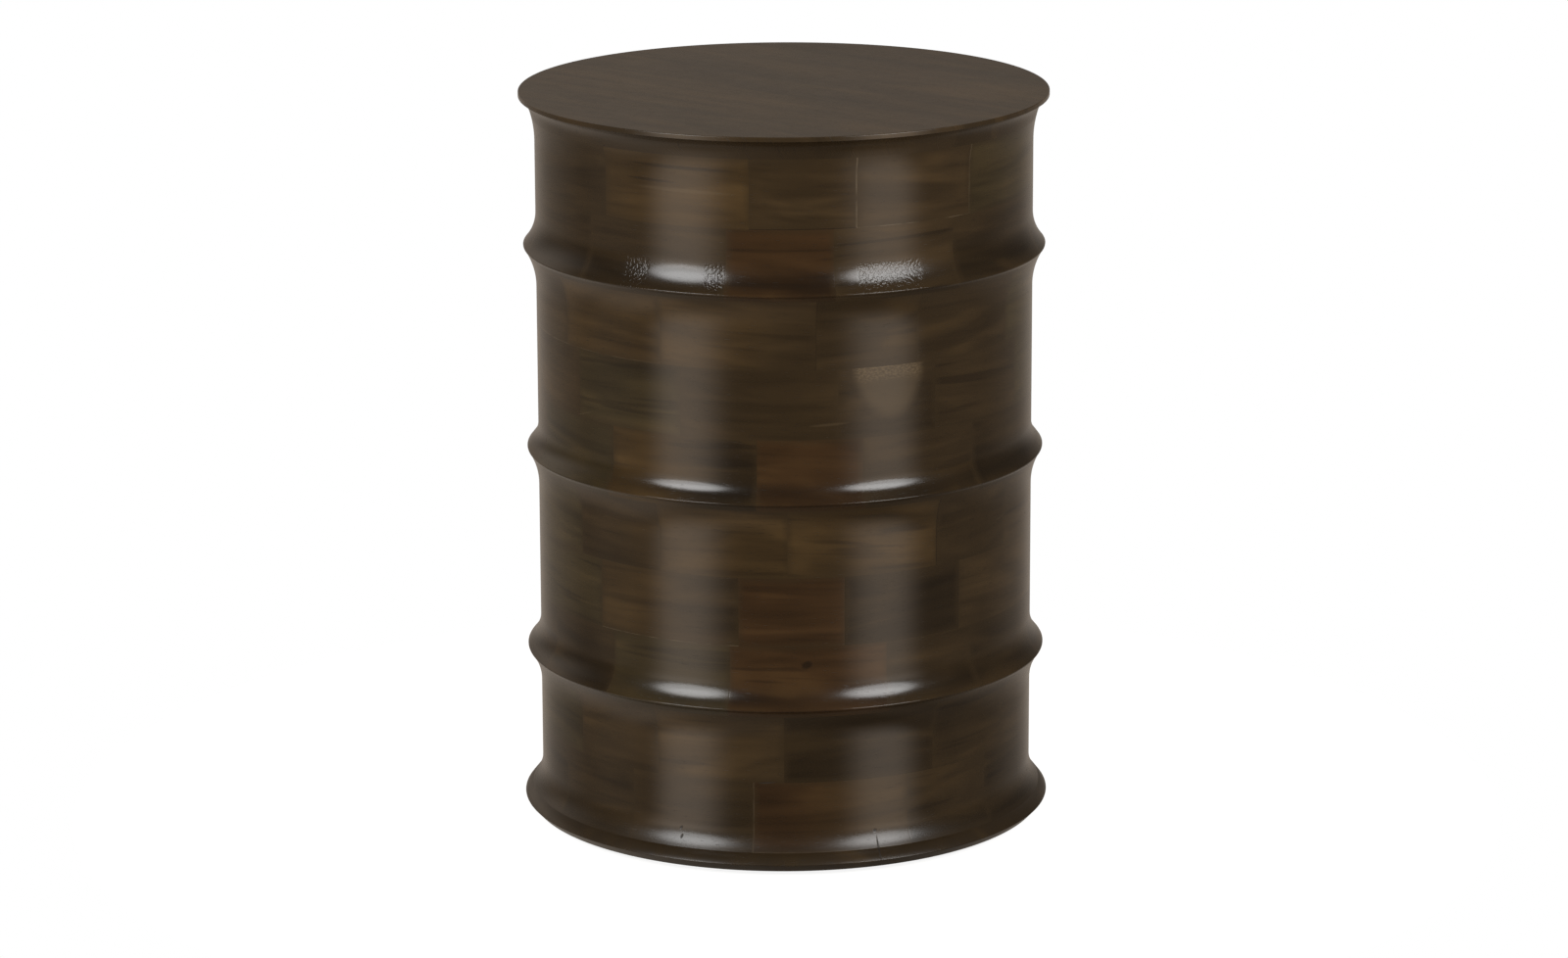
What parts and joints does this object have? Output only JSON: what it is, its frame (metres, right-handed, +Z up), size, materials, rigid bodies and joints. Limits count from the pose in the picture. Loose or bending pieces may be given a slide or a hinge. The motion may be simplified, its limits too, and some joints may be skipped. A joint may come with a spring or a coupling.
{
  "type": "drum side table",
  "caption": "Round drum side table glued up from short wood blocks, with a flat top, a flared rim and foot, and turned beads around the wall.",
  "frame": {"origin": "on the floor, under the middle of the drum", "axes": "+Z up along the drum's axis, front towards -Y, +X to the right seen from the front"},
  "size_m": [0.4032, 0.4032, 0.559],
  "materials": {
    "top_wood": "dark stain, satin lacquer",
    "drum_wood": "dark stain, semi-gloss lacquer",
    "base_wood": "dark stain, satin",
    "screw_steel": "zinc plated",
    "glide_plastic": "matte"
  },
  "bodies": {
    "root": {"top_board_1": "top_wood", "top_board_2": "top_wood", "top_board_3": "top_wood", "top_board_4": "top_wood", "top_board_5": "top_wood", "course_01": "drum_wood", "course_02": "drum_wood", "course_03": "drum_wood", "course_04": "drum_wood", "course_05": "drum_wood", "course_06": "drum_wood", "course_07": "drum_wood", "course_08": "drum_wood", "course_09": "drum_wood", "course_10": "drum_wood", "base_panel": "base_wood", "base_screws": "screw_steel", "glide_1": "glide_plastic", "glide_2": "glide_plastic", "glide_3": "glide_plastic", "glide_4": "glide_plastic", "glide_screws": "screw_steel"}
  },
  "joints": []
}
